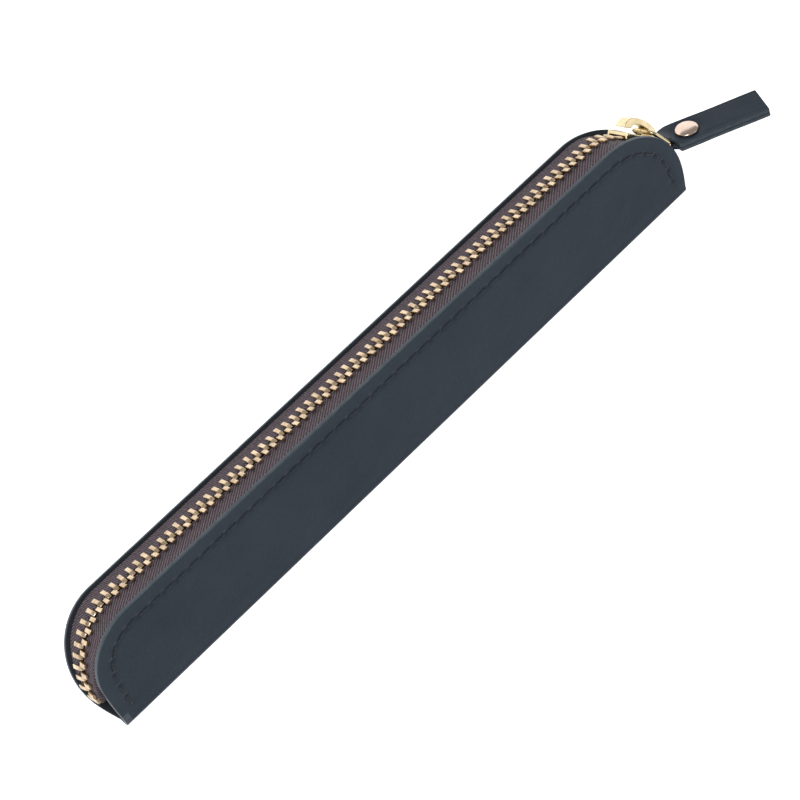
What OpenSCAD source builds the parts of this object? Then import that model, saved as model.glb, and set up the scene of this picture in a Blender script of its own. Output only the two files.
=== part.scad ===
// Slim zip case for fountain pens.
// One hide is folded along a straight spine; a metal zip runs round the other three sides
// and ends in a slider with an open-hook bridge, a wire pull ring and a riveted strap.
// The back panel lies flat. +X runs along the fold from the bottom stop to the slider,
// +Y from the fold to the zip, and the origin is in the middle of the back panel's outer face.

/* [Case] */
// Length over the widest points
case_len = 197; // [180:1:215]
// Height of each panel from the fold to its free edge
panel_h = 28; // [27:0.5:31]
// Thickness of the leather
leather_t = 1.3; // [1:0.1:1.5]
// Angle between the two panels when the zip is closed
wedge = 34; // [33:1:37]
// Inside radius of the fold
fold_r = 0.4; // [0.3:0.1:0.6]
// Corner radius at the bottom-stop end
left_corner_r = 15; // [14:0.5:16]
// The same corner of the back panel
back_corner_r = 17; // [15:0.5:20]
// Corner radius at the slider end
right_corner_r = 20.5; // [19.5:0.5:21.5]
// How far the ends draw in where they meet the fold
tip_inset = 0.8; // [0:0.1:1.5]
// How far the back panel reaches past the front one at the bottom stop
back_reach = 1.75; // [0:0.25:3]

/* [Stitching] */
// Distance of the stitch line from the free edge
stitch_in = 4.3; // [4:0.1:5]
// Length from one stitch hole to the next
stitch_pitch = 4; // [3:0.25:5]
// Thickness of the thread
thread_d = 0.55; // [0.4:0.05:0.6]

/* [Zip] */
// Distance between the teeth of one row
tooth_pitch = 2.54; // [2.5:0.01:2.6]
// Thickness of a tooth along the chain
tooth_t = 1.1; // [0.9:0.05:1.15]
// Half the width of the closed chain
chain_half_w = 2.85; // [2.7:0.05:2.95]
// Half the height of the teeth
chain_half_h = 1.1; // [1:0.05:1.15]
// Thickness of the woven tape
tape_t = 0.44; // [0.35:0.01:0.5]
// How deep the tape reaches down inside each panel
tape_depth = 7.5; // [6:0.5:9]
// Depth of the chain's centre below the free edges
chain_sink = 0.85; // [0.7:0.05:1.2]

/* [Slider and pull] */
// Length of the slider's plates
slider_len = 11.5; // [11:0.25:12]
// Greatest half width of the slider's upper plate
slider_half_w = 4.2; // [4:0.05:4.3]
// Width of the bridge
bridge_w = 3.6; // [3:0.1:4]
// Thickness of the pull ring's wire
wire_d = 1.1; // [0.9:0.05:1.15]
// Distance between the middles of the ring's two bars
ring_len = 7.4; // [7.2:0.1:7.6]
// Inside width of the ring
ring_in_w = 6.9; // [6.8:0.1:7]
// Length of the strap from the ring's bar to its raw end
strap_len = 27.5; // [24:0.5:32]
// Width of the strap
strap_w = 9.5; // [9:0.5:10]
// Thickness of one layer of the strap
strap_t = 1.1; // [0.9:0.1:1.2]
// Diameter of the rivet's cap
rivet_d = 6; // [5:0.25:6.5]

/* [Hidden] */
$fn = 48;
leather_color = "#39424f";
edge_color = "#2c3a45";
tape_color = "#4e4349";
brass_color = "#c9b28a";
gold_color = "#d8c187";

half_wedge = wedge / 2;
fold_z = leather_t + fold_r;
fold_y = -panel_h / 2;
deg = 180 / PI;

// ---- tracks -------------------------------------------------------------
// A track climbs the left end, rounds its corner, follows the top and rounds the right corner.
// A place on it is [x, height, turn], and turn is the angle of its outward side from straight up.
function arc_len(r, angle) = r * angle / deg;
function on_arc(cx, top, r, turn) = [cx + r * sin(turn), top - r + r * cos(turn), turn];
function ahead(p, d) = [p[0] + d * cos(p[2]), p[1] - d * sin(p[2]), p[2]];
// t holds [lead-in, left centre, left radius, left turn, right centre, right radius, right turn, top]
function track_len(t) = t[0] + arc_len(t[2], t[3]) + t[4] - t[1] + arc_len(t[5], t[6]);
function on_track(t, u) =
    let (a = t[0], b = a + arc_len(t[2], t[3]), c = b + t[4] - t[1], d = track_len(t))
    u < a ? ahead(on_arc(t[1], t[7], t[2], -t[3]), u - a)
    : u < b ? on_arc(t[1], t[7], t[2], -t[3] + (u - a) / t[2] * deg)
    : u < c ? [t[1] + u - b, t[7], 0]
    : u < d ? on_arc(t[4], t[7], t[5], (u - c) / t[5] * deg)
    : ahead(on_arc(t[4], t[7], t[5], t[6]), u - d);

// The chain's track lies in the plane midway between the panels
mouth_m = panel_h * cos(half_wedge) - fold_r * sin(half_wedge);
chain_top = mouth_m - chain_sink;
chain_left_r = 16.2;
chain_right_r = 11.3;
chain_right_turn = 46;
chain_left_x = -case_len / 2 - 0.8 + chain_left_r;
chain_right_x = case_len / 2 - 18.95;
chain_track = [1.2, chain_left_x, chain_left_r, 90, chain_right_x, chain_right_r, chain_right_turn, chain_top];
slider_u = track_len(chain_track);

// The stitch line follows the panel's own outline, further in
stitch_track = [panel_h - left_corner_r - 3, left_corner_r - case_len / 2, left_corner_r - stitch_in, 90,
    case_len / 2 - right_corner_r, right_corner_r - stitch_in, 90, panel_h - stitch_in];
stitch_end = track_len(stitch_track) + panel_h - right_corner_r - 3;
stitches = floor((stitch_end) / stitch_pitch);

// ---- frames -------------------------------------------------------------
module at_fold() translate([0, fold_y, fold_z]) children();
// x along the fold, y up the front panel, z out of its outer face
module on_front() at_fold() rotate([wedge, 0, 0]) children();
// the same for the back panel, with z pointing into the case
module on_back() at_fold() children();
// x along the fold, y up the mid-plane, z towards the front panel
module in_middle() at_fold() rotate([half_wedge, 0, 0]) children();
// x along the chain towards the slider, y outwards, z towards the front panel
module at_chain(u) {
    p = on_track(chain_track, u);
    in_middle() translate([p[0], p[1], 0]) rotate(-p[2]) children();
}
module at_slider() at_chain(slider_u) children();

// ---- leather ------------------------------------------------------------
arc_steps = 16;
// One end of a panel: a gentle bulge up from the fold, then the rounded corner
function end_bulge(r, reach) = [for (i = [0 : 5])
    [case_len / 2 + reach - (tip_inset + reach) * (1 - sin(18 * i)), (panel_h - r) * i / 5]];
function corner(r, reach) = [for (i = [1 : arc_steps])
    let (a = 90 * i / arc_steps) [case_len / 2 + reach - r + r * cos(a), panel_h - r + r * sin(a)]];
function end_outline(r, reach) = concat(end_bulge(r, reach), corner(r, reach));
function mirrored(points) = [for (i = [len(points) - 1 : -1 : 0]) [-points[i][0], points[i][1]]];

module panel(r, reach) linear_extrude(leather_t)
    polygon(concat(end_outline(right_corner_r, 0), mirrored(end_outline(r, reach))));

module front_panel() color(leather_color) on_front() translate([0, 0, fold_r]) panel(left_corner_r, 0);
module back_panel() color(leather_color) on_back() translate([0, 0, -fold_z]) panel(back_corner_r, back_reach);

// The bend that joins the panels, round the fold's own axis
module fold_spine() color(leather_color) at_fold() rotate([90, 0, 90]) rotate(90 + wedge)
    rotate_extrude(angle = 180 - wedge, $fn = 96)
        translate([fold_r, tip_inset - case_len / 2]) square([leather_t, case_len - 2 * tip_inset]);

// ---- stitching ----------------------------------------------------------
stitch_gap = 0.8;
module stitch_row(height, from = 0, to = stitches - 1)
    for (i = [from : to]) {
        p = on_track(stitch_track, (i + 0.5) * stitch_pitch);
        translate([p[0], p[1], height]) rotate(-p[2]) rotate([0, 90, 0])
            cylinder(h = stitch_pitch - stitch_gap, d = thread_d, center = true, $fn = 24);
    }
thread_sink = thread_d / 2 + 0.02;
tape_gap = 0.05;
on_tape = (tape_gap + tape_t) * cos(half_wedge) + thread_d / 4;
// Stitches that go through the tape lie on it; the rest lie on the bare leather
tape_from = 3;
tape_to = stitches - 6;
module bobbin_row(side) {
    stitch_row(side * (fold_r - on_tape), tape_from, tape_to);
    stitch_row(side * (fold_r + thread_sink), 0, tape_from - 1);
    stitch_row(side * (fold_r + thread_sink), tape_to + 1);
}
module front_needle_thread() color(edge_color) on_front() stitch_row(fold_r + leather_t - thread_sink);
module back_needle_thread() color(edge_color) on_back() stitch_row(thread_sink - fold_z);
module front_bobbin_thread() color(edge_color) on_front() bobbin_row(1);
module back_bobbin_thread() color(edge_color) on_back() bobbin_row(-1);

// ---- tape and bead ------------------------------------------------------
// Half the free gap between the panels at a height in the mid-plane
function half_gap(m) = (fold_r + m * sin(half_wedge)) / cos(half_wedge);
bead_in = 1.05;
bead_w = 0.85;
bead_half_h = 0.33;
tape_bend = 0.6;
tape_past_slider = 0.3;
// The tape steps aside for the post in the slider
post_step = 0.8;
post_from = 3;
post_to = 8;
function aside(u) = post_step * min(1, max(0, (u - slider_u - post_from) / (post_to - post_from)));
stations = concat([0],
    [for (i = [0 : 18]) chain_track[0] + arc_len(chain_left_r, 90) * i / 18],
    [for (i = [0 : 8]) slider_u - arc_len(chain_right_r, chain_right_turn) * (8 - i) / 8],
    [slider_u + post_from, slider_u + post_to, slider_u + slider_len + tape_past_slider]);

// A point of the mid-plane frame, out by n and across by q from a place on the chain
function beside(p, n, q) = [p[0] + n * sin(p[2]), p[1] + n * cos(p[2]), q];
function tape_section(u) =
    let (p = on_track(chain_track, u), h = tape_t / 2, start = bead_in + bead_w + aside(u), r = tape_bend)
    let (face = function(n) half_gap(p[1] + n * cos(p[2])) - tape_gap, low = h - r, deep = -tape_depth)
    [beside(p, h, start), beside(p, h, face(0) - r), beside(p, h - 0.29 * r, face(0) - 0.29 * r),
     beside(p, low, face(low)), beside(p, deep, face(deep)), beside(p, deep, face(deep) - tape_t),
     beside(p, low, face(low) - tape_t), beside(p, -h, face(0) - r), beside(p, -h, start)];
function bead_section(u) =
    let (p = on_track(chain_track, u), a = bead_in + aside(u), b = a + bead_w, h = bead_half_h)
    [beside(p, h, a), beside(p, h, b), beside(p, -h, b), beside(p, -h, a)];

// One closed skin over a row of sections, all with the same number of points
module skin(sections) {
    n = len(sections[0]);
    last = len(sections) - 1;
    sides = [for (i = [0 : last - 1], j = [0 : n - 1])
        let (k = (j + 1) % n) [i * n + j, (i + 1) * n + j, (i + 1) * n + k, i * n + k]];
    polyhedron([for (s = sections, p = s) p],
        concat(sides, [[for (j = [0 : n - 1]) j]], [[for (j = [n - 1 : -1 : 0]) last * n + j]]));
}
module tape() skin([for (u = stations) tape_section(u)]);
module bead() skin([for (u = stations) bead_section(u)]);

module front_tape() color(tape_color) in_middle() tape();
module back_tape() color(tape_color) in_middle() mirror([0, 0, 1]) tape();
module front_bead() color(tape_color) in_middle() bead();
module back_bead() color(tape_color) in_middle() mirror([0, 0, 1]) bead();

// ---- teeth and stops ----------------------------------------------------
head_reach = 0.55;
head_half_h = 0.5;
slot_in = 1;
slot_half_h = 0.36;
tooth_outline = [[-head_reach, -head_half_h], [0.5, -chain_half_h], [chain_half_w, -chain_half_h],
    [chain_half_w, -slot_half_h], [slot_in, -slot_half_h], [slot_in, slot_half_h],
    [chain_half_w, slot_half_h], [chain_half_w, chain_half_h], [0.5, chain_half_h],
    [-head_reach, head_half_h]];
first_tooth_u = 2.7;
last_tooth_u = slider_u + 6;
teeth = floor((last_tooth_u - first_tooth_u - tooth_pitch / 2) / tooth_pitch) + 1;
module across(length) rotate([0, -90, 0]) linear_extrude(length, center = true) children();
module tooth_row(shift) for (i = [0 : teeth - 1])
    at_chain(first_tooth_u + i * tooth_pitch + shift) mirror([0, 0, shift > 0 ? 1 : 0])
        across(tooth_t) polygon(tooth_outline);
module front_teeth() color(brass_color) tooth_row(0);
module back_teeth() color(brass_color) tooth_row(tooth_pitch / 2);

// The top stops clamp the tapes in the slider's two throats
stop_u = slider_u + 9.6;
module top_stop() at_chain(stop_u) translate([-1, -0.8, 1.75]) cube([2, 1.6, 1.2]);
module front_top_stop() color(brass_color) top_stop();
module back_top_stop() color(brass_color) in_middle() mirror([0, 0, 1]) rotate([-half_wedge, 0, 0])
    translate([0, -fold_y, -fold_z]) top_stop();
// The bottom stop is one bar across both tapes, with a jaw round each bead
stop_half_w = 2.3;
stop_half_h = 0.95;
jaw_in = 0.95;
jaw_half_h = 0.38;
module bottom_stop() color(brass_color) at_chain(0.9) difference() {
    cube([1.4, 2 * stop_half_h, 2 * stop_half_w], center = true);
    for (side = [-1, 1]) translate([0, 0, side * (jaw_in + stop_half_w)])
        cube([2, 2 * jaw_half_h, 2 * stop_half_w], center = true);
}

// ---- slider -------------------------------------------------------------
plate_t = 0.95;
channel_half_h = 1.3;
plate_top = channel_half_h + plate_t;
mouth_half_w = 3.95;
shoulder_a = 5.8;
lip_half_h = 0.55;
lip_in = 3.25;
under_by = 0.6;
// Straight sides open out to a rounded shoulder at the throat end
function shoulder(w) = [for (i = [0 : 12]) let (b = 90 - 7.5 * 2 * i)
    [shoulder_a + (slider_len - shoulder_a) * cos(b), w * sin(b)]];
module plate_shape(w) polygon(concat([[0, -mouth_half_w + slider_half_w - w], [0, mouth_half_w - slider_half_w + w]],
    shoulder(w)));
// Turns a shape drawn as [along, across] into a plate whose upper face is at top
module layer(top, thick) translate([0, top, 0]) rotate([90, 0, 0]) linear_extrude(thick) children();
module wing(w, side) {
    layer(side > 0 ? plate_top : -channel_half_h, plate_t) plate_shape(w);
    layer(side > 0 ? channel_half_h : -lip_half_h, channel_half_h - lip_half_h) difference() {
        plate_shape(w);
        translate([-1, -lip_in]) square([slider_len + 2, 2 * lip_in]);
    }
}
post_outline = [[7, 0], [8.3, 1.2], [10.6, 1.35], [11, 1], [11, -1], [10.6, -1.35], [8.3, -1.2]];
// The bridge is an open hook: its foot stands at the throat end and its tip hangs over the mouth.
// Each of its two outlines is a quarter of an ellipse over the tip and another over the foot.
function quarter(c, r, from) = [for (i = [0 : 12]) let (b = from - 7.5 * i)
    [c[0] + r[0] * cos(b), c[1] + r[1] * sin(b)]];
function reversed(points) = [for (i = [len(points) - 1 : -1 : 0]) points[i]];
hook_base = plate_top - 0.3;
hook_outer = concat(quarter([3.4, 3.4], [3, 2.85], 180), quarter([3.4, plate_top], [7.5, 4], 90));
hook_inner = concat(quarter([4, 3.6], [1.2, 1.1], 180), quarter([4, plate_top], [5.1, 2.45], 90));
module hook() linear_extrude(bridge_w, center = true)
    polygon(concat(hook_outer, [[10.9, hook_base], [9.1, hook_base]], reversed(hook_inner)));
module slider_body() color(gold_color) at_slider() {
    wing(slider_half_w, 1);
    wing(slider_half_w - under_by, -1);
    layer(channel_half_h + 0.1, 2 * channel_half_h + 0.2) polygon(post_outline);
    hook();
}

// ---- pull ---------------------------------------------------------------
// The ring's near bar lies in the hook; the ring hangs a little below the plates' line
ring_a = 7.4;
ring_n = 3.4;
ring_droop = 18;
ring_bend = 1.6;
module at_ring() at_slider() translate([ring_a, ring_n, 0]) rotate(-ring_droop) children();
ring_half_w = (ring_in_w + wire_d) / 2;
// A quarter bend of wire, centred on the origin and starting on +X
module elbow() rotate_extrude(angle = 90, $fn = 32) translate([ring_bend, 0]) circle(d = wire_d, $fn = 24);
module bar(length) rotate([0, 90, 0]) cylinder(h = length, d = wire_d, center = true, $fn = 24);
module ring_flat() {
    half_l = ring_len / 2;
    for (side = [-1, 1]) {
        translate([half_l * side, 0, 0]) rotate([0, 0, 90]) bar(2 * (ring_half_w - ring_bend));
        translate([0, side * ring_half_w, 0]) bar(2 * (half_l - ring_bend));
    }
    for (i = [0 : 3]) {
        corner_x = (i == 0 || i == 3 ? 1 : -1) * (half_l - ring_bend);
        corner_y = (i < 2 ? 1 : -1) * (ring_half_w - ring_bend);
        translate([corner_x, corner_y, 0]) rotate(90 * i) elbow();
    }
}
module pull_ring() color(gold_color) at_ring() translate([ring_len / 2, 0, 0]) rotate([90, 0, 0]) ring_flat();

// The strap is one strip folded round the ring's far bar, where it is narrower to pass
// between the ring's legs; then it widens and turns. x runs along it and z across it.
strap_lift = 52;
strap_yaw = 23;
strap_roll = 17;
module at_eye() at_ring() translate([ring_len, 0, 0]) rotate(strap_lift) children();
module at_strap() at_eye() rotate([0, -strap_yaw, 0]) rotate([strap_roll, 0, 0]) children();
eye_r = wire_d / 2 + 0.3;
eye_w = ring_in_w - 0.5;
eye_end = 2.6;
layer_gap = 0.12;
strap_half_t = strap_t + layer_gap / 2;
function eye_arc(r) = [for (i = [0 : 16]) let (b = 70 + 220 * i / 16) [r * cos(b), r * sin(b)]];
module eye_side() difference() {
    polygon(concat([[eye_end, strap_half_t]], eye_arc(eye_r + strap_t), [[eye_end, -strap_half_t]]));
    polygon(concat([[eye_end - 0.6, layer_gap / 2]], eye_arc(eye_r), [[eye_end - 0.6, -layer_gap / 2]]));
}
// The flat part's section at a distance s: it widens and turns between the eye and turned_at
turned_at = 4;
function smooth(t) = t < 0 ? 0 : t > 1 ? 1 : t * t * (3 - 2 * t);
function strap_section(s) =
    let (k = smooth((s - eye_end) / (turned_at - eye_end)), w = (eye_w + (strap_w - eye_w) * k) / 2,
        roll = (k - 1) * strap_roll)
    [for (c = [[1, 1], [-1, 1], [-1, -1], [1, -1]])
        let (y = c[0] * strap_half_t, z = c[1] * w) [s, y * cos(roll) - z * sin(roll), y * sin(roll) + z * cos(roll)]];
strap_stations = concat([for (i = [0 : 6]) eye_end - 0.3 + (turned_at + 0.3 - eye_end) * i / 6], [strap_len]);
rivet_x = 7;
post_r = 1;
module pull_strap() color(leather_color) {
    at_eye() linear_extrude(eye_w, center = true) eye_side();
    at_strap() difference() {
        skin([for (s = strap_stations) strap_section(s)]);
        translate([rivet_x, 0, 0]) rotate([90, 0, 0])
            cylinder(h = 4 * strap_t, r = post_r + 0.05, center = true);
    }
}

// The rivet's cap and base are turned parts; the base carries the post
cap_rim = 0.35;
cap_dome = 0.95;
cap_profile = [[0, 0], [rivet_d / 2 - 0.2, 0], [rivet_d / 2, 0.15], [rivet_d / 2, cap_rim],
    [rivet_d * 0.42, cap_dome * 0.75], [rivet_d * 0.22, cap_dome * 0.96], [0, cap_dome]];
module at_rivet(side) at_strap() translate([rivet_x, side * strap_half_t, 0]) rotate([-90 * side, 0, 0]) children();
module rivet_cap() color(brass_color) at_rivet(1) translate([0, 0, 0.01]) rotate_extrude() polygon(cap_profile);
module rivet_base() color(brass_color) at_rivet(-1) {
    translate([0, 0, 0.01]) rotate_extrude() polygon(cap_profile);
    translate([0, 0, 0.1 - 2 * strap_half_t]) cylinder(h = 2 * strap_half_t, r = post_r);
}

// ---- assembly -----------------------------------------------------------
front_panel();
back_panel();
fold_spine();
front_needle_thread();
back_needle_thread();
front_bobbin_thread();
back_bobbin_thread();
front_tape();
back_tape();
front_bead();
back_bead();
front_teeth();
back_teeth();
front_top_stop();
back_top_stop();
bottom_stop();
slider_body();
pull_ring();
pull_strap();
rivet_cap();
rivet_base();
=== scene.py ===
"""A slim zip case for fountain pens: one folded hide, a metal zip, a wire ring and a riveted strap.

Shapes are worked out in millimetres in the same frames as the CAD. "Panel" points are
(x, v, z): along the fold, up the panel, out of its front. "Chain" points are (a, n, q) beside a
place u on the zip: along it, out of the mouth, across towards the front panel.
"""

import math

import bmesh
import bpy
import numpy as np
from mathutils import Matrix, Vector
from mathutils.geometry import delaunay_2d_cdt


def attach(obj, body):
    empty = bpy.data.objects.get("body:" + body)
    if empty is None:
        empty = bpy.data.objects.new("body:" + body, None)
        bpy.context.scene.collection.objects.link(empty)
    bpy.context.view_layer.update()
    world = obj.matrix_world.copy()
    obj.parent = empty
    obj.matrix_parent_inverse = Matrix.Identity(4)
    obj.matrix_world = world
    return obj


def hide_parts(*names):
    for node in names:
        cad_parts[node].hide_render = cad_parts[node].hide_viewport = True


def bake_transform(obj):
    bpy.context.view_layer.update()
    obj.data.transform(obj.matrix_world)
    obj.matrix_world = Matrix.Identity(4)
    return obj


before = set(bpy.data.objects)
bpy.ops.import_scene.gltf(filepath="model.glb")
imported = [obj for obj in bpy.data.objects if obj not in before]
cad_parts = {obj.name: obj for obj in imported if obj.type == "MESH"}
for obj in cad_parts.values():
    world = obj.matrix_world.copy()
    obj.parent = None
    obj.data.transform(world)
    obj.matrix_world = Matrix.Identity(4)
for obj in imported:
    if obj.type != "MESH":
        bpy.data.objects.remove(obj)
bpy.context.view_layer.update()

MM = 0.001
CASE_LEN = 197.0
PANEL_H = 28.0
LEATHER_T = 1.3
WEDGE = math.radians(34)
HALF = WEDGE / 2
FOLD_R = 0.4
FOLD_Z = LEATHER_T + FOLD_R
FOLD_Y = -PANEL_H / 2
LEFT_R = 15.0
RIGHT_R = 20.5
TIP_INSET = 0.8
BACK_REACH = 1.75
BACK_R = 17.0
SPLIT_V = 2.5  # height above the fold where the folded strip meets each panel
STITCH_IN = 4.3
STITCH_PITCH = 4.0
TAPE_T = 0.44
TAPE_GAP = 0.05  # between a tape and its panel
TAPE_DEPTH = 7.5
CHAIN_SINK = 0.85  # the chain's depth below the panels' free edges
TOOTH_PITCH = 2.54
SLIDER_LEN = 11.5
RING_LEN = 7.4  # between the middles of the ring's two bars
WIRE_R = 0.55
STRAP_LEN = 27.5
STRAP_T = 1.1
STRAP_HALF = STRAP_T + 0.06  # half the thickness of the two layers and the gap between them
RIVET_X = 7.0
rng = np.random.default_rng(11)  # small differences between stitches and between teeth


# ---- tracks and frames ---------------------------------------------------
# A track climbs the left end, rounds its corner, follows the top and rounds the right corner.
# It is (lead-in, left centre, left radius, left turn, right centre, right radius, right turn, top).
def on_track(track, u):
    """x, height and turn (radians from straight up) at distances u along a track."""
    lead, left_x, left_r, left_turn, right_x, right_r, right_turn, top = track
    left_turn, right_turn = math.radians(left_turn), math.radians(right_turn)
    a = lead
    b = a + left_r * left_turn
    c = b + right_x - left_x
    d = c + right_r * right_turn
    u = np.atleast_1d(np.asarray(u, float))
    turn = np.where(u < b, -left_turn + np.maximum(u - a, 0) / left_r, 0.0)
    turn = np.where(u > c, np.minimum((u - c) / right_r, right_turn), turn)
    centre = np.where(u < b, left_x, np.where(u < c, left_x + u - b, right_x))
    r = np.where(u < b, left_r, right_r)
    past = np.where(u < a, u - a, np.where(u > d, u - d, 0.0))
    x = centre + r * np.sin(turn) + past * np.cos(turn)
    height = top - r + r * np.cos(turn) - past * np.sin(turn)
    return x, height, turn


def track_len(track):
    """Length of a track up to the end of its right corner."""
    lead, left_x, left_r, left_turn, right_x, right_r, right_turn, _ = track
    bends = left_r * math.radians(left_turn) + right_r * math.radians(right_turn)
    return lead + right_x - left_x + bends


MOUTH_M = PANEL_H * math.cos(HALF) - FOLD_R * math.sin(HALF)
CHAIN_LEFT_R = 16.2
CHAIN = (1.2, -CASE_LEN / 2 - 0.8 + CHAIN_LEFT_R, CHAIN_LEFT_R, 90,
         CASE_LEN / 2 - 18.95, 11.3, 46, MOUTH_M - CHAIN_SINK)
SLIDER_U = track_len(CHAIN)
STITCHING = (PANEL_H - LEFT_R - 3, LEFT_R - CASE_LEN / 2, LEFT_R - STITCH_IN, 90,
             CASE_LEN / 2 - RIGHT_R, RIGHT_R - STITCH_IN, 90, PANEL_H - STITCH_IN)
STITCHES = int((track_len(STITCHING) + PANEL_H - RIGHT_R - 3) / STITCH_PITCH)


def place(points, tilt):
    """Points of a frame tilted about the fold (mm) as places in the row frame (m)."""
    x, v, z = np.asarray(points, float).reshape(-1, 3).T
    c, s = math.cos(tilt), math.sin(tilt)
    return np.column_stack([x, FOLD_Y + v * c - z * s, FOLD_Z + v * s + z * c]) * MM


def beside(u, a, n, q):
    """Chain points as mid-plane points."""
    x, m, turn = on_track(CHAIN, u)
    sin, cos = np.sin(turn), np.cos(turn)
    x, m = x + a * cos + n * sin, m - a * sin + n * cos
    return np.column_stack([x, m, np.broadcast_to(q, x.shape)])


def half_gap(m):
    """Half the free gap between the panels at a height in the mid-plane."""
    return (FOLD_R + m * math.sin(HALF)) / math.cos(HALF)


def smooth(t):
    """A soft step from 0 to 1."""
    t = np.clip(t, 0, 1)
    return t * t * (3 - 2 * t)


slider_x, slider_m, slider_turn = (float(w[0]) for w in on_track(CHAIN, SLIDER_U))
AT_SLIDER = (Matrix.Translation((0, FOLD_Y, FOLD_Z)) @ Matrix.Rotation(HALF, 4, "X")
             @ Matrix.Translation((slider_x, slider_m, 0)) @ Matrix.Rotation(-slider_turn, 4, "Z"))
RING_AT = (7.4, 3.4, 0)  # the ring's near bar, inside the hook
DROOP = math.radians(18)  # the ring's tip below the slider's line
LIFT = math.radians(52)  # the strap's rise from the ring's line
YAW = math.radians(23)  # the strap's turn to the side of the ring's line
ROLL = math.radians(17)  # and about its own length
AT_RING = AT_SLIDER @ Matrix.Translation(RING_AT) @ Matrix.Rotation(-DROOP, 4, "Z")
AT_EYE = AT_RING @ Matrix.Translation((RING_LEN, 0, 0)) @ Matrix.Rotation(LIFT, 4, "Z")
AT_STRAP = AT_EYE @ Matrix.Rotation(-YAW, 4, "Y") @ Matrix.Rotation(ROLL, 4, "X")


def through(matrix, points):
    """Points (mm) taken through a matrix in mm, as places in the row frame (m)."""
    m = np.array(matrix)
    return (np.asarray(points, float) @ m[:3, :3].T + m[:3, 3]) * MM


# ---- materials -----------------------------------------------------------
def new_material(name, colour, rough, metallic=0.0):
    """A material with its node tree and principled shader."""
    mat = bpy.data.materials.new(name)
    mat.use_nodes = True
    tree = mat.node_tree
    shader = tree.nodes["Principled BSDF"]
    shader.inputs["Base Color"].default_value = (*colour, 1)
    shader.inputs["Roughness"].default_value = rough
    shader.inputs["Metallic"].default_value = metallic
    return mat, tree, shader


def coords(tree):
    """Object coordinates, in m."""
    return tree.nodes.new("ShaderNodeTexCoord").outputs["Object"]


def stored(tree, name, output="Vector"):
    """A value kept with the mesh's points."""
    node = tree.nodes.new("ShaderNodeAttribute")
    node.attribute_name = name
    return node.outputs[output]


def noise(tree, vector, scale, detail=4.0, rough=0.55):
    """Cloudy noise from 0 to 1."""
    node = tree.nodes.new("ShaderNodeTexNoise")
    node.inputs["Scale"].default_value = scale
    node.inputs["Detail"].default_value = detail
    node.inputs["Roughness"].default_value = rough
    tree.links.new(vector, node.inputs["Vector"])
    return node.outputs["Fac"]


def cells(tree, vector, scale):
    """Rounded cells, for the leather's grain."""
    node = tree.nodes.new("ShaderNodeTexVoronoi")
    node.feature = "SMOOTH_F1"
    node.inputs["Scale"].default_value = scale
    tree.links.new(vector, node.inputs["Vector"])
    return node.outputs["Distance"]


def ramp(tree, factor, stops):
    """A colour ramp; each stop is (position, linear colour)."""
    node = tree.nodes.new("ShaderNodeValToRGB")
    while len(node.color_ramp.elements) < len(stops):
        node.color_ramp.elements.new(0.5)
    for element, (position, colour) in zip(node.color_ramp.elements, stops):
        element.position = position
        element.color = (*colour, 1)
    tree.links.new(factor, node.inputs["Fac"])
    return node.outputs["Color"]


def grey(value):
    return (value, value, value)


def mix(tree, factor, a, b, mode="MIX"):
    """Mixes two colours; factor is a number or a socket, and a and b are sockets or colours."""
    node = tree.nodes.new("ShaderNodeMix")
    node.data_type = "RGBA"
    node.blend_type = mode
    for value, socket in ((factor, node.inputs["Factor"]), (a, node.inputs["A"]), (b, node.inputs["B"])):
        if isinstance(value, bpy.types.NodeSocket):
            tree.links.new(value, socket)
        elif isinstance(value, (int, float)):
            socket.default_value = value
        else:
            socket.default_value = (*value, 1)
    return node.outputs["Result"]


def bump(tree, height, distance, strength, under=None):
    """A bump of some metres' depth, laid over another normal if one is given."""
    node = tree.nodes.new("ShaderNodeBump")
    node.inputs["Distance"].default_value = distance
    node.inputs["Strength"].default_value = strength
    tree.links.new(height, node.inputs["Height"])
    if under:
        tree.links.new(under, node.inputs["Normal"])
    return node.outputs["Normal"]


def leather_material(name, low, high, rough=(0.46, 0.58)):
    """Smooth matte leather between two colours; the margin attribute marks its worn, teal edges."""
    mat, tree, shader = new_material(name, high, 0.5)
    vector = coords(tree)
    base = ramp(tree, noise(tree, vector, 60, 3), [(0.3, low), (0.7, high)])
    fine = noise(tree, vector, 2600, 3, 0.6)
    speck = ramp(tree, fine, [(0.35, grey(0.86)), (0.65, grey(1.08))])
    base = mix(tree, 1.0, base, speck, "MULTIPLY")
    worn = tuple(c * k for c, k in zip(high, (0.95, 1.16, 1.1)))
    base = mix(tree, stored(tree, "margin", "Fac"), base, worn)
    tree.links.new(base, shader.inputs["Base Color"])
    dull = ramp(tree, noise(tree, vector, 240, 3), [(0.3, grey(rough[0])), (0.7, grey(rough[1]))])
    tree.links.new(dull, shader.inputs["Roughness"])
    shader.inputs["Specular IOR Level"].default_value = 0.17
    shader.inputs["Sheen Weight"].default_value = 0.03
    shader.inputs["Sheen Roughness"].default_value = 0.6
    grain = bump(tree, cells(tree, vector, 1500), 0.00006, 0.35)
    grain = bump(tree, fine, 0.00004, 0.4, grain)
    soft = bump(tree, noise(tree, vector, 180, 4), 0.0004, 0.18, grain)
    tree.links.new(soft, shader.inputs["Normal"])
    return mat


def edge_material():
    """The burnished cut edge: slate blue, a little glossier, with fibres along it."""
    mat, tree, shader = new_material("cut_edge", (0.03, 0.05, 0.07), 0.5)
    vector = coords(tree)
    colour = ramp(tree, noise(tree, vector, 500, 5),
                  [(0.3, (0.026, 0.040, 0.055)), (0.75, (0.052, 0.072, 0.092))])
    tree.links.new(colour, shader.inputs["Base Color"])
    tree.links.new(bump(tree, noise(tree, vector, 1800, 5), 0.00012, 0.6), shader.inputs["Normal"])
    return mat


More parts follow.
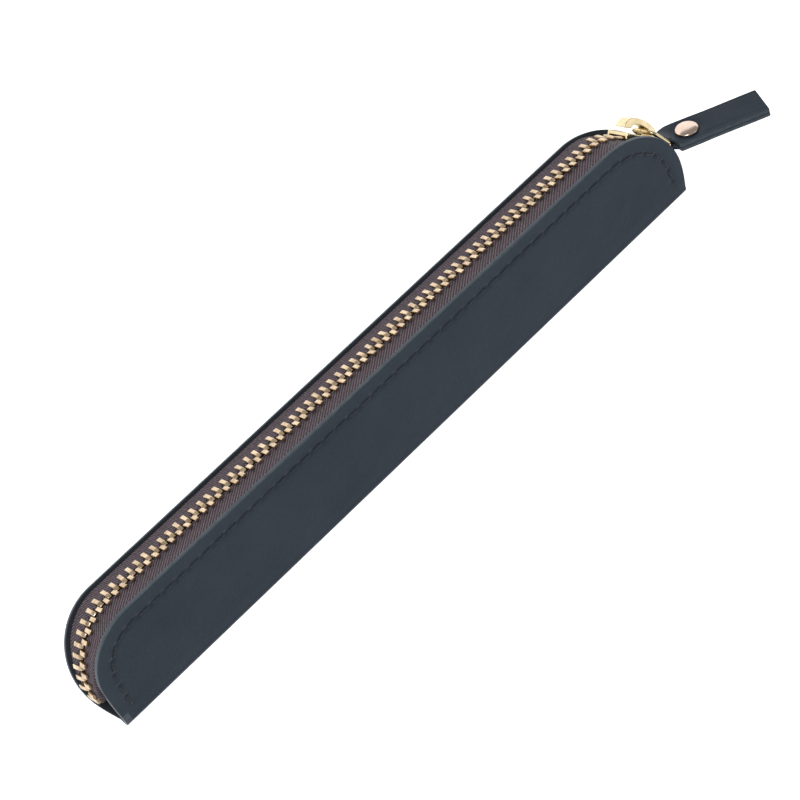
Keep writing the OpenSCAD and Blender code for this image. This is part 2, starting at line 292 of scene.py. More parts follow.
def suede_material():
    """The hide's rough inner side."""
    mat, tree, shader = new_material("suede", (0.02, 0.024, 0.03), 0.9)
    vector = coords(tree)
    colour = ramp(tree, noise(tree, vector, 900, 6),
                  [(0.3, (0.008, 0.011, 0.016)), (0.75, (0.019, 0.025, 0.034))])
    tree.links.new(colour, shader.inputs["Base Color"])
    shader.inputs["Sheen Weight"].default_value = 0.25
    tree.links.new(bump(tree, noise(tree, vector, 3500, 6, 0.7), 0.00015, 0.8), shader.inputs["Normal"])
    return mat


def tape_material():
    """Plum-brown herringbone; the weave attribute holds millimetres along and across the tape."""
    mat, tree, shader = new_material("zip_tape", (0.07, 0.055, 0.07), 0.85)
    vector = stored(tree, "weave")
    threads = tree.nodes.new("ShaderNodeTexWave")
    threads.bands_direction = "DIAGONAL"
    threads.inputs["Scale"].default_value = 0.62
    threads.inputs["Distortion"].default_value = 1.6
    threads.inputs["Detail"].default_value = 3.0
    threads.inputs["Detail Scale"].default_value = 2.4
    tree.links.new(vector, threads.inputs["Vector"])
    ridges = threads.outputs["Fac"]
    colour = ramp(tree, ridges, [(0.1, (0.013, 0.010, 0.013)), (0.55, (0.038, 0.026, 0.034)),
                                 (0.95, (0.15, 0.108, 0.130))])
    fleck = ramp(tree, noise(tree, vector, 2.2, 4, 0.7),
                 [(0.38, (0.35, 0.32, 0.34)), (0.66, (1.5, 1.3, 1.4))])
    colour = mix(tree, 0.8, colour, fleck, "MULTIPLY")
    tree.links.new(colour, shader.inputs["Base Color"])
    shader.inputs["Sheen Weight"].default_value = 0.06
    woven = bump(tree, ridges, 0.0001, 0.7)
    woven = bump(tree, noise(tree, vector, 5, 5, 0.7), 0.00008, 0.6, woven)
    tree.links.new(woven, shader.inputs["Normal"])
    return mat


def thread_material():
    """Waxed navy sewing thread."""
    mat, tree, shader = new_material("thread", (0.012, 0.016, 0.024), 0.7)
    colour = ramp(tree, noise(tree, coords(tree), 3000, 4),
                  [(0.3, (0.008, 0.011, 0.018)), (0.7, (0.022, 0.028, 0.040))])
    tree.links.new(colour, shader.inputs["Base Color"])
    shader.inputs["Sheen Weight"].default_value = 0.1
    return mat


def metal_material(name, low, high, rough, grain):
    """Plated metal between two colours and two roughnesses; grain is how strongly it is dimpled."""
    mat, tree, shader = new_material(name, high, 0.3, 1.0)
    vector = coords(tree)
    base = ramp(tree, noise(tree, vector, 420, 4), [(0.3, low), (0.7, high)])
    tree.links.new(base, shader.inputs["Base Color"])
    dull = ramp(tree, noise(tree, vector, 900, 4), [(0.3, grey(rough[0])), (0.7, grey(rough[1]))])
    tree.links.new(dull, shader.inputs["Roughness"])
    tree.links.new(bump(tree, noise(tree, vector, 1400, 3), 0.00005, grain), shader.inputs["Normal"])
    return mat


LEATHER = leather_material("leather", (0.018, 0.029, 0.045), (0.025, 0.037, 0.055))
STRAP_LEATHER = leather_material("strap_leather", (0.011, 0.020, 0.033), (0.017, 0.028, 0.043),
                                 (0.5, 0.62))
CUT_EDGE = edge_material()
SUEDE = suede_material()
TAPE = tape_material()
THREAD = thread_material()
TEETH = metal_material("antique_brass", (0.40, 0.29, 0.18), (0.72, 0.57, 0.40), (0.26, 0.42), 0.5)
GOLD = metal_material("pale_gold", (0.60, 0.49, 0.29), (0.74, 0.62, 0.40), (0.16, 0.26), 0.15)
RIVET = metal_material("rose_gold", (0.58, 0.44, 0.36), (0.68, 0.53, 0.44), (0.18, 0.28), 0.12)


# ---- mesh helpers --------------------------------------------------------
def mesh_object(name, points, faces, materials, indices=None, attributes=()):
    """A smooth-shaded object from places in m; attributes are (name, values) per point."""
    mesh = bpy.data.meshes.new(name)
    mesh.from_pydata(np.asarray(points).tolist(), [], [list(map(int, f)) for f in faces])
    for mat in materials:
        mesh.materials.append(mat)
    if indices is not None:
        mesh.polygons.foreach_set("material_index", np.asarray(indices, np.int32))
    for key, values in attributes:
        values = np.asarray(values, np.float32)
        kind = "FLOAT_VECTOR" if values.ndim == 2 else "FLOAT"
        layer = mesh.attributes.new(key, kind, "POINT")
        layer.data.foreach_set("vector" if values.ndim == 2 else "value", values.ravel())
    mesh.update()
    fixed = bmesh.new()
    fixed.from_mesh(mesh)
    bmesh.ops.recalc_face_normals(fixed, faces=fixed.faces)
    fixed.to_mesh(mesh)
    fixed.free()
    mesh.polygons.foreach_set("use_smooth", [True] * len(mesh.polygons))
    mesh.set_sharp_from_angle(angle=math.radians(50))
    obj = bpy.data.objects.new(name, mesh)
    bpy.context.scene.collection.objects.link(obj)
    return obj


def grid_faces(rows, columns, closed_columns=False):
    """Quads of a grid whose points run column by column within each row."""
    faces = []
    for i in range(rows - 1):
        for j in range(columns if closed_columns else columns - 1):
            k = (j + 1) % columns
            row, after = i * columns, (i + 1) * columns
            faces.append((row + j, row + k, after + k, after + j))
    return faces


def swept(sections, capped=True):
    """Points and faces of closed sections (rows x points x 3) joined end to end."""
    rows, columns = sections.shape[:2]
    faces = grid_faces(rows, columns, True)
    if capped:
        faces.append(tuple(range(columns)))
        faces.append(tuple(range((rows - 1) * columns, rows * columns)))
    return sections.reshape(-1, 3), faces


def joined(parts):
    """Several (points, faces) as one."""
    points, faces, start = [], [], 0
    for part_points, part_faces in parts:
        points.append(part_points)
        faces += [tuple(start + k for k in f) for f in part_faces]
        start += len(part_points)
    return np.concatenate(points), faces


def circle(count):
    """Angles of a full turn, without the last."""
    return np.linspace(0, 2 * np.pi, count + 1)[:-1]


def even_steps(line, count):
    """count points at even distances along a line, with those distances."""
    run = np.concatenate([[0], np.cumsum(np.linalg.norm(np.diff(line, axis=0), axis=1))])
    s = np.linspace(0, run[-1], count)
    return np.column_stack([np.interp(s, run, line[:, k]) for k in (0, 1)]), s


def unit(vectors):
    return vectors / np.linalg.norm(vectors, axis=1)[:, None]


def finish_piece(obj, body, node):
    """The piece rides a body and stands for a CAD node, whose part is hidden."""
    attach(obj, body)
    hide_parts(node)


# ---- leather -------------------------------------------------------------
HOLES = np.column_stack(on_track(STITCHING, np.arange(STITCHES + 1) * STITCH_PITCH)[:2])


def bulge_x(v, r, reach):
    """Half length of a panel at height v, below its corner."""
    return CASE_LEN / 2 + reach - (TIP_INSET + reach) * (1 - np.sin(np.pi / 2 * v / (PANEL_H - r)))


def outline(corner_r, reach):
    """The panel's edge from the left end over the top to the right end, with outward normals."""
    left_v = np.linspace(SPLIT_V, PANEL_H - corner_r, 26)
    left = np.column_stack([-bulge_x(left_v, corner_r, reach), left_v])
    turn = np.linspace(0, np.pi / 2, 56)[1:]
    left_arc = np.column_stack([-(CASE_LEN / 2 + reach - corner_r) - corner_r * np.cos(turn),
                                PANEL_H - corner_r + corner_r * np.sin(turn)])
    top_x = np.linspace(-(CASE_LEN / 2 + reach - corner_r), CASE_LEN / 2 - RIGHT_R, 360)[1:]
    top = np.column_stack([top_x, np.full(len(top_x), PANEL_H)])
    turn = np.linspace(np.pi / 2, 0, 72)[1:]
    right_arc = np.column_stack([CASE_LEN / 2 - RIGHT_R + RIGHT_R * np.cos(turn),
                                 PANEL_H - RIGHT_R + RIGHT_R * np.sin(turn)])
    right_v = np.linspace(PANEL_H - RIGHT_R, SPLIT_V, 12)[1:]
    right = np.column_stack([bulge_x(right_v, RIGHT_R, 0), right_v])
    points = np.concatenate([left, left_arc, top, right_arc, right])
    along = unit(np.gradient(points, axis=0))
    return points, np.column_stack([-along[:, 1], along[:, 0]])


# rows of points inside the outline, close together beside the stitching
INSETS = (0.25, 0.4, 0.7, 1.2, 1.9, 2.6, 3.1, 3.5, 3.8, 4.05, 4.3, 4.55, 4.8, 5.1, 5.5, 6.1, 7.0, 8.0)
# the cut edge's section, rounded at both faces: (inset from the rim, depth below the outer face)
CUT = ((0.25, 0.0), (0.12, 0.04), (0.03, 0.13), (0.0, 0.28), (0.02, 0.65), (0.0, 1.02),
       (0.03, 1.17), (0.12, 1.26), (0.25, LEATHER_T))


def inset_points(points, normals, distance):
    """The outline moved inwards, with both ends kept on the joint with the folded strip."""
    moved = points - normals * distance
    moved[[0, -1], 1] = SPLIT_V
    return moved


def outer_relief(xv, inset, sag):
    """How far the outer face sinks: stitch holes, the line they pull in, and soft waves."""
    gap = np.linalg.norm(xv[:, None] - HOLES[None], axis=2).min(axis=1)
    sunk = 0.26 * np.exp(-(gap / 0.5) ** 2) + 0.07 * np.exp(-((inset - STITCH_IN) / 0.8) ** 2)
    fade = smooth((xv[:, 1] - SPLIT_V) / 3)
    waves = np.sin(xv[:, 0] / 13 + 1) * np.sin(xv[:, 1] / 6 + 0.4) + 0.6 * np.sin(xv[:, 0] / 5.3)
    return fade * (sunk + sag * (1 + 0.5 * waves))


def middle_points(ring):
    """Even points for a panel's middle, clear of its innermost row and between its two ends."""
    gx, gv = np.meshgrid(np.arange(ring[:, 0].min() + 1.7, ring[:, 0].max() - 1.2, 2.0),
                         np.arange(SPLIT_V + 1.6, PANEL_H - 9.2, 1.9))
    inner = np.column_stack([gx.ravel(), gv.ravel()])
    near = np.linalg.norm(inner[:, None] - ring[None], axis=2).min(axis=1)
    inside = (inner[:, 0] > np.interp(inner[:, 1], ring[:60, 1], ring[:60, 0]) + 1)
    inside &= inner[:, 0] < np.interp(inner[:, 1], ring[:-80:-1, 1], ring[:-80:-1, 0]) - 1
    return inner[inside & (near > 1.0)]


def panel_mesh(name, tilt, side, corner_r, reach, body, node):
    """One panel: both faces share a flat layout, joined by a rounded cut edge."""
    points, normals = outline(corner_r, reach)
    count = len(points)
    rows = [inset_points(points, normals, d) for d in INSETS]
    flat = np.concatenate(rows)
    inset = np.repeat(INSETS, count)
    faces = grid_faces(len(rows), count)
    # the middle is filled with triangles between the last row and the straight lower edge
    ring = rows[-1]
    low_x = np.linspace(ring[-1, 0], ring[0, 0], 96)[1:-1]
    low = np.column_stack([low_x, np.full(len(low_x), SPLIT_V)])
    inner = middle_points(ring)
    border = np.concatenate([ring, low])
    found = delaunay_2d_cdt([Vector(p) for p in np.concatenate([border, inner])], [],
                            [list(range(len(border)))], 1, 1e-5)
    base = len(flat) - count
    extra = np.concatenate([low, inner])
    number = [base + ids[0] for ids in found[3]]
    faces += [tuple(number[k] for k in f) for f in found[2]]
    flat = np.concatenate([flat, extra])
    inset = np.concatenate([inset, np.full(len(extra), 9.0)])
    total = len(flat)
    sag = 0.05 if side > 0 else 0.0
    outside = side * (FOLD_Z - outer_relief(flat, inset, sag))
    within = np.full(total, side * FOLD_R)
    solid = [np.column_stack([flat, outside]), np.column_stack([flat, within])]
    every = list(faces) + [tuple(total + k for k in f) for f in faces]
    kinds = [0] * len(faces) + [2] * len(faces)
    # the cut edge runs from the first row of the outer face to the first row of the inner one
    for distance, depth in CUT[1:-1]:
        rim = inset_points(points, normals, distance)
        solid.append(np.column_stack([rim, np.full(count, side * (FOLD_Z - depth))]))
    starts = [0] + [2 * total + k * count for k in range(len(CUT) - 2)] + [total]
    for k, (a, b) in enumerate(zip(starts[:-1], starts[1:])):
        every += [(a + i, a + i + 1, b + i + 1, b + i) for i in range(count - 1)]
        kinds += [0 if k in (0, len(starts) - 2) else 1] * (count - 1)
    # the lower cut, hidden against the folded strip
    lower = [j * count for j in range(len(rows))]
    lower += [base + count + len(low) - 1 - k for k in range(len(low))]
    lower += [j * count + count - 1 for j in range(len(rows) - 1, -1, -1)]
    every += [(p, q, total + q, total + p) for p, q in zip(lower[:-1], lower[1:])]
    kinds += [1] * (len(lower) - 1)
    every += [tuple(row + end for row in starts) for end in (0, count - 1)]
    kinds += [1, 1]
    solid = np.concatenate(solid)
    margin = np.zeros(len(solid))
    margin[:total] = 0.35 * (1 - smooth((inset - 0.4) / 3.4))
    obj = mesh_object(name, place(solid, tilt), every, [LEATHER, CUT_EDGE, SUEDE], kinds,
                      [("margin", margin)])
    finish_piece(obj, body, node)


panel_mesh("front_leather", WEDGE, 1, LEFT_R, 0.0, "front_half", "front_panel")
panel_mesh("back_leather", 0.0, -1, BACK_R, BACK_REACH, "back_half", "back_panel")


def fold_mesh():
    """The strip that turns round the fold, with a flat lip on each panel."""
    spine = CASE_LEN / 2 - TIP_INSET
    steps = []  # (outer y, z), (inner y, z), left x, right x
    for v in np.linspace(SPLIT_V, 0, 9)[:-1]:
        ends = -bulge_x(v, BACK_R, BACK_REACH), bulge_x(v, RIGHT_R, 0)
        steps.append(((v, -FOLD_Z), (v, -FOLD_R), *ends))
    for angle in np.linspace(1.5 * np.pi, np.pi / 2 + WEDGE, 33):
        puff = 0.12 * max(0.0, -math.cos(angle)) ** 2
        way = np.array((math.cos(angle), math.sin(angle)))
        steps.append((way * (FOLD_Z + puff), way * FOLD_R, -spine, spine))
    up = np.array((math.cos(WEDGE), math.sin(WEDGE)))
    out = np.array((-math.sin(WEDGE), math.cos(WEDGE)))
    for v in np.linspace(0, SPLIT_V, 9)[1:]:
        ends = -bulge_x(v, LEFT_R, 0), bulge_x(v, RIGHT_R, 0)
        steps.append((up * v + out * FOLD_Z, up * v + out * FOLD_R, *ends))
    # round the section: outer face, right edge, inner face, left edge
    spread = np.linspace(0, 1, 130)[1:-1]
    rings = []
    for outer, inner, left, right in steps:
        outer, inner = np.asarray(outer), np.asarray(inner)
        row = [(left + 0.25 + (right - left - 0.5) * t, 0.0) for t in spread]
        row += [(right - d, h) for d, h in CUT]
        row += [(right - 0.25 - (right - left - 0.5) * t, LEATHER_T) for t in spread]
        row += [(left + d, h) for d, h in reversed(CUT)]
        x, h = np.array(row).T
        yz = outer + (inner - outer) * (h / LEATHER_T)[:, None]
        rings.append(np.column_stack([x, yz[:, 0] + FOLD_Y, yz[:, 1] + FOLD_Z]))
    sections = np.array(rings) * MM
    points, faces = swept(sections)
    n, p = len(spread), len(CUT)
    kind_of = [0] * n + [1] * p + [2] * n + [1] * p
    kinds = [kind_of[j] for _ in range(len(rings) - 1) for j in range(sections.shape[1])] + [1, 1]
    fold_x = np.abs(points[:, 0]) / MM
    margin = 0.35 * smooth((fold_x - (spine - 3.8)) / 3.4)
    obj = mesh_object("fold_leather", points, faces, [LEATHER, CUT_EDGE, SUEDE], kinds,
                      [("margin", margin)])
    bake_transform(obj)
    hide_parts("fold_spine")


fold_mesh()


# ---- stitching -----------------------------------------------------------
def stitch_mesh(name, tilt, height_of, lift, body, node):
    """A row of two-ply stitches. height_of gives a stitch's middle and lift its rise outwards."""
    t = np.linspace(-1, 1, 19)
    ring = circle(8)
    plies = []
    for i in range(STITCHES):
        lean = 0.14 + 0.05 * rng.standard_normal()
        u = (i + 0.5 + 0.47 * t) * STITCH_PITCH
        x, v, turn = on_track(STITCHING, u)
        height = height_of(i) + lift * (0.10 - 0.72 * np.abs(t) ** 7)
        for ply in (0, np.pi):
            twist = ply + t * 5.2
            side = lean * t + 0.13 * np.cos(twist)
            rise = height + 0.11 * np.sin(twist)
            radius = 0.15 * (1 - 0.25 * np.abs(t) ** 6)
            around = side[:, None] + radius[:, None] * np.cos(ring)
            above = rise[:, None] + radius[:, None] * np.sin(ring)
            px = x[:, None] + around * np.sin(turn)[:, None]
            pv = v[:, None] + around * np.cos(turn)[:, None]
            plies.append(swept(np.stack([px, pv, above], axis=2)))
    points, faces = joined(plies)
    obj = mesh_object(name, place(points, tilt), faces, [THREAD])
    finish_piece(obj, body, node)


ON_TAPE = (TAPE_GAP + TAPE_T) * math.cos(HALF) + 0.14  # a thread's middle over the tape


def bobbin_height(side):
    """Heights of the inner stitches: on the tape, but on the leather near both ends."""
    def height(i):
        on_tape = 3 <= i <= STITCHES - 6
        return side * (FOLD_R - ON_TAPE if on_tape else FOLD_R - 0.02)
    return height


stitch_mesh("front_needle_stitches", WEDGE, lambda i: FOLD_Z - 0.14, 1, "front_half", "front_needle_thread")
stitch_mesh("back_needle_stitches", 0.0, lambda i: 0.44 - FOLD_Z, -1, "back_half", "back_needle_thread")
stitch_mesh("front_bobbin_stitches", WEDGE, bobbin_height(1), -1, "front_half", "front_bobbin_thread")
stitch_mesh("back_bobbin_stitches", 0.0, bobbin_height(-1), 1, "back_half", "back_bobbin_thread")


# ---- tape and bead -------------------------------------------------------
def aside(u):
    """The tape steps aside for the post in the slider."""
    return 0.8 * np.clip((u - SLIDER_U - 3) / 5, 0, 1)


TAPE_END = SLIDER_U + SLIDER_LEN + 0.3


def tape_line(u, samples):
    """The tape's middle line at one place: (n, q) from the bead to its lower edge."""
    _, m, turn = (float(w[0]) for w in on_track(CHAIN, u))

    def face(n):
        return half_gap(m + n * math.cos(turn)) - TAPE_GAP - TAPE_T / 2

    start = 1.35 + float(aside(np.array(u)))
    bend = 0.62
    corner = face(0) - bend
    flat = [(0, start), (0, (start + corner) / 2), (0, corner)]
    curve = [(-bend * (1 - math.cos(w)), corner + bend * math.sin(w)) for w in np.linspace(0.26, 1.31, 5)]
    down = [(n, face(n)) for n in np.linspace(-0.75, -TAPE_DEPTH + 0.05, 9)]
    fine, s = even_steps(np.array(flat + curve + down), samples)
    way = unit(np.gradient(fine, axis=0))
    return fine, np.column_stack([-way[:, 1], way[:, 0]]), s


def tape_mesh(name, side, body, node):
    """The woven tape, with its herringbone ribs standing out of both faces."""
    samples = 56
    u_all = np.arange(0.1, TAPE_END, 0.19)
    upper, lower, weave, length = [], [], [], 0.0
    for u in u_all:
        line, normal, s = tape_line(u, samples)
        slant = np.abs((s / 1.7) % 2 - 1) * 1.7
        rib = 0.045 * np.sin(2 * np.pi * (u + slant * 1.1) / 0.72) * np.sin(2 * np.pi * s / 0.56 + 0.6)
        thick = TAPE_T / 2 * (1 - 0.6 * np.exp(-((s[-1] - s) / 0.25) ** 2))
        for faces_of, way, rise in ((upper, -1, thick + rib), (lower, 1, thick - 0.5 * rib)):
            nq = line - way * normal * rise[:, None]
            faces_of.append(beside(np.full(samples, u), 0, nq[:, 0], side * nq[:, 1]))
        weave.append(np.column_stack([np.full(samples, u), s, np.zeros(samples)]))
        length += s[-1]
    sections = [np.concatenate([a, b[::-1]]) for a, b in zip(upper, lower)]
    points, faces = swept(np.array(sections))
    kept = np.concatenate([np.concatenate([w, w[::-1]]) for w in weave])
    obj = mesh_object(name, place(points, HALF), faces, [TAPE], None, [("weave", kept)])
    finish_piece(obj, body, node)


tape_mesh("front_zip_tape", 1, "front_half", "front_tape")
tape_mesh("back_zip_tape", -1, "back_half", "back_tape")


def bead_mesh(name, side, body, node):
    """The corded edge that the teeth are clamped on, with its wound ribs."""
    u = np.arange(0.1, TAPE_END, 0.14)
    ring = circle(16)
    radius = 0.40 + 0.035 * np.sin(2 * np.pi * (u[:, None] / 0.62 + ring / (2 * np.pi)))
    n = 0.92 * radius * np.sin(ring)
    q = side * (1.47 + aside(u)[:, None] + radius * np.cos(ring))
    flat_u = np.repeat(u, len(ring))
    middle = beside(flat_u, 0, n.ravel(), q.ravel()).reshape(len(u), len(ring), 3)
    points, faces = swept(middle)
    weave = np.column_stack([flat_u, np.tile(ring * 0.4, len(u)), np.zeros(len(flat_u))])
    obj = mesh_object(name, place(points, HALF), faces, [TAPE], None, [("weave", weave)])
    finish_piece(obj, body, node)


bead_mesh("front_zip_bead", 1, "front_half", "front_bead")
bead_mesh("back_zip_bead", -1, "back_half", "back_bead")


# ---- solid shapes --------------------------------------------------------
def prism(outline_points, low, high, axes):
    """A bmesh prism in (a, n, q): its outline is in the first two axes, low to high in the third."""
    shape = bmesh.new()
    order = ["anq".index(c) for c in axes]
    rings = []
    for level in (low, high):
        ring = []
        for p in outline_points:
            spot = [0.0, 0.0, 0.0]
            spot[order[0]], spot[order[1]], spot[order[2]] = p[0], p[1], level
            ring.append(shape.verts.new(spot))
        rings.append(ring)
    count = len(outline_points)
    shape.faces.new(rings[0])
    shape.faces.new(rings[1][::-1])
    for i in range(count):
        j = (i + 1) % count
        shape.faces.new((rings[0][i], rings[0][j], rings[1][j], rings[1][i]))
    bmesh.ops.recalc_face_normals(shape, faces=shape.faces)
    return shape


def bevelled(shape, width, segments):
    """The shape with all its edges rounded."""
    bmesh.ops.bevel(shape, geom=list(shape.edges), offset=width, segments=segments, profile=0.6,
                    affect="EDGES", clamp_overlap=True)
    return shape


def arrays(shape):
    """Points and faces of a bmesh, which is then freed."""
    shape.verts.index_update()
    points = np.array([v.co for v in shape.verts])
    faces = [tuple(v.index for v in f.verts) for f in shape.faces]
    shape.free()
    return points, faces


def tooth_shape():
    """One pressed tooth: arms round the bead, a waist, and a domed head with a socket behind it."""
    outline_qn = [(-0.58, -0.42), (-0.35, -0.62), (0.45, -1.06), (1.3, -1.12), (2.85, -1.12), (2.85, -0.4),
                  (1.02, -0.4), (1.02, 0.4), (2.85, 0.4), (2.85, 1.12), (1.3, 1.12), (0.45, 1.06),
                  (-0.35, 0.62), (-0.58, 0.42)]
    shape = prism(outline_qn, -0.55, 0.55, "qna")
    bevelled(shape, 0.17, 3)
    for v in shape.verts:
        a, n, q = v.co
        waist = 1 - 0.20 * math.exp(-((q - 0.95) / 0.42) ** 2) + 0.05 * math.exp(-((q - 2.2) / 0.5) ** 2)
        v.co.x = a * waist
        if n > 0.3 and q > 1.3:
            crown = math.cos(min(abs(a) / 0.55, 1) * math.pi / 2)
            v.co.y = n + 0.09 * crown * math.sin((q - 1.3) / 1.55 * math.pi)
    return arrays(shape)


def teeth_mesh(name, side, body, node):
    """One row of teeth, each a little out of true. The other row sits half a pitch further on."""
    template, shape_faces = tooth_shape()
    first, last = 2.7, SLIDER_U + 6
    count = int((last - first - TOOTH_PITCH / 2) / TOOTH_PITCH) + 1
    teeth = []
    for i in range(count):
        u = first + i * TOOTH_PITCH + (0 if side > 0 else TOOTH_PITCH / 2)
        tip, swing = 0.03 * rng.standard_normal(2)
        a = template[:, 0] + swing * template[:, 2]
        n = template[:, 1] + tip * template[:, 2]
        q = template[:, 2] + 0.5 * float(aside(np.array(u)))
        spot = np.full(len(template), u)
        teeth.append((beside(spot, a, n, side * q), shape_faces))
    points, faces = joined(teeth)
    obj = mesh_object(name, place(points, HALF), faces, [TEETH])
    finish_piece(obj, body, node)


teeth_mesh("front_zip_teeth", 1, "front_half", "front_teeth")
teeth_mesh("back_zip_teeth", -1, "back_half", "back_teeth")


def stop_mesh(name, side, body, node):
    """A top stop: a short staple closed round the tape's edge."""
    staple = [(-1, 1.75), (-0.3, 1.68), (0.3, 1.68), (1, 1.75), (1, 2.95), (-1, 2.95)]
    points, faces = arrays(bevelled(prism(staple, -0.8, 0.8, "aqn"), 0.22, 4))
    a, n, q = points.T
    placed = beside(np.full(len(points), SLIDER_U + 9.6), a, n, side * q)
    finish_piece(mesh_object(name, place(placed, HALF), faces, [TEETH]), body, node)


stop_mesh("front_zip_top_stop", 1, "front_half", "front_top_stop")
stop_mesh("back_zip_top_stop", -1, "back_half", "back_top_stop")


def bottom_stop_mesh():
    """The bar across both tapes, pinched in the middle where it was crimped."""
    waist = [(-0.7, -2.3), (0.7, -2.3), (0.7, -0.5), (0.58, 0), (0.7, 0.5), (0.7, 2.3), (-0.7, 2.3),
             (-0.7, 0.5), (-0.58, 0), (-0.7, -0.5)]
    points, faces = arrays(bevelled(prism(waist, -0.95, 0.95, "aqn"), 0.25, 4))
    placed = beside(np.full(len(points), 0.9), *points.T)
    obj = mesh_object("zip_bottom_stop", place(placed, HALF), faces, [TEETH])
    finish_piece(obj, "back_half", "bottom_stop")


bottom_stop_mesh()


# ---- slider --------------------------------------------------------------
PLATE_W = 4.2  # half width of the slider's upper plate, out of the mouth
UNDER_W = 3.6  # and of its lower plate, in the mouth
LIP_IN = 3.25  # the lips' inner walls


def quarter(centre, radii, start):
    """A quarter of an ellipse, clockwise from an angle in degrees."""
    angles = np.radians(start - np.linspace(0, 90, 19))
    return [(centre[0] + radii[0] * math.cos(b), centre[1] + radii[1] * math.sin(b)) for b in angles]


def plate_outline(w):
    """A plate of half width w: nearly straight behind, rounded in front."""
    mid = 5.8
    narrow = w - 0.25
    rounded = [(mid + (SLIDER_LEN - mid) * math.cos(b), w * math.sin(b))
               for b in np.radians(np.linspace(90, -90, 41))]
    return [(0, -narrow), (0, narrow)] + rounded


def slider_mesh():
    """Plates, lips, post and hook run together and rounded over, as in a die casting."""
    parts = [prism(plate_outline(PLATE_W), 1.3, 2.25, "aqn"),
             prism(plate_outline(UNDER_W), -2.25, -1.3, "aqn")]
    for side in (-1, 1):
        for w, low, high in ((PLATE_W, 0.55, 1.4), (UNDER_W, -1.4, -0.55)):
            shell = sorted(p for p in plate_outline(w) if p[1] * side >= LIP_IN)
            ends = [(shell[-1][0] + 0.1, LIP_IN * side), (0, LIP_IN * side)]
            parts.append(prism(shell + ends, low, high, "aqn"))
    post = [(7, 0), (7.6, 0.8), (8.3, 1.2), (10.6, 1.35), (11, 1), (11, -1), (10.6, -1.35), (8.3, -1.2),
            (7.6, -0.8)]
    parts.append(prism(post, -1.5, 1.5, "aqn"))
    outer = quarter((3.4, 3.4), (3, 2.85), 180) + quarter((3.4, 2.25), (7.5, 4), 90)[1:]
    inner = quarter((4, 3.6), (1.2, 1.1), 180) + quarter((4, 2.25), (5.1, 2.45), 90)[1:]
    hook = outer + [(10.9, 1.9), (9.1, 1.9)] + inner[::-1]
    parts.append(prism(hook, -1.8, 1.8, "anq"))
    whole = bmesh.new()
    for part in parts:
        mesh = bpy.data.meshes.new("part")
        part.to_mesh(mesh)
        part.free()
        whole.from_mesh(mesh)
        bpy.data.meshes.remove(mesh)
    mesh = bpy.data.meshes.new("slider")
    whole.to_mesh(mesh)
    whole.free()
    obj = bpy.data.objects.new("zip_slider", mesh)
    bpy.context.scene.collection.objects.link(obj)
    fuse = obj.modifiers.new("fuse", "REMESH")
    fuse.mode = "VOXEL"
    fuse.voxel_size = 0.105
    soften = obj.modifiers.new("soften", "SMOOTH")
    soften.iterations = 9
    soften.factor = 0.5
    ready = obj.evaluated_get(bpy.context.evaluated_depsgraph_get())
    fused = bpy.data.meshes.new_from_object(ready)
    obj.modifiers.clear()
    obj.data = fused
    fused.transform(Matrix.Scale(MM, 4) @ AT_SLIDER)
    fused.materials.clear()
    fused.materials.append(GOLD)
    fused.polygons.foreach_set("use_smooth", [True] * len(fused.polygons))
    finish_piece(obj, "slider", "slider_body")


slider_mesh()


# ---- ring, strap and rivet -----------------------------------------------
def tube(line, radius, across):
    """A closed loop of wire: line is (n, 3), and across is the loop plane's normal."""
    way = unit(np.roll(line, -1, axis=0) - np.roll(line, 1, axis=0))
    up = np.array(across, float)
    out = np.cross(way, up)
    angle = circle(24)[:, None]
    around = out[:, None] * np.cos(angle) + up * np.sin(angle)
    sections = line[:, None] + radius[:, None, None] * around
    count, sides = sections.shape[:2]
    faces = grid_faces(count, sides, True)
    faces += [((count - 1) * sides + j, (count - 1) * sides + (j + 1) % sides, (j + 1) % sides, j)
              for j in range(sides)]
    return sections.reshape(-1, 3), faces


def ring_mesh():
    """The wire ring, with the fine joint where its ends meet inside the hook."""
    bend = 1.6
    mid_a, mid_q = RING_LEN / 2 - bend, 4.0 - bend  # middles of the corner bends
    line = []
    for k, (sa, sq) in enumerate(((1, 1), (-1, 1), (-1, -1), (1, -1))):
        for b in np.radians(np.linspace(0, 90, 17) + 90 * k):
            line.append((sa * mid_a + bend * math.cos(b), sq * mid_q + bend * math.sin(b)))
    a, q = even_steps(np.array(line + line[:1]), 241)[0][:-1].T
    a = a + RING_LEN / 2
    joint = np.exp(-((q - 0.3) / 0.09) ** 2) * (a < 0.4)
    points, faces = tube(np.column_stack([a, np.zeros(len(a)), q]), WIRE_R - 0.07 * joint, (0, 1, 0))
    obj = mesh_object("pull_wire_ring", through(AT_RING, points), faces, [GOLD])
    finish_piece(obj, "ring", "pull_ring")


ring_mesh()


def strap_frame(s):
    """The turn of the strap at a distance s: none at the eye, full further on."""
    k = float(smooth(np.array((s - 0.6) / 3.2)))
    return np.array((Matrix.Rotation(-YAW * k, 4, "Y") @ Matrix.Rotation(ROLL * k, 4, "X")).to_3x3())


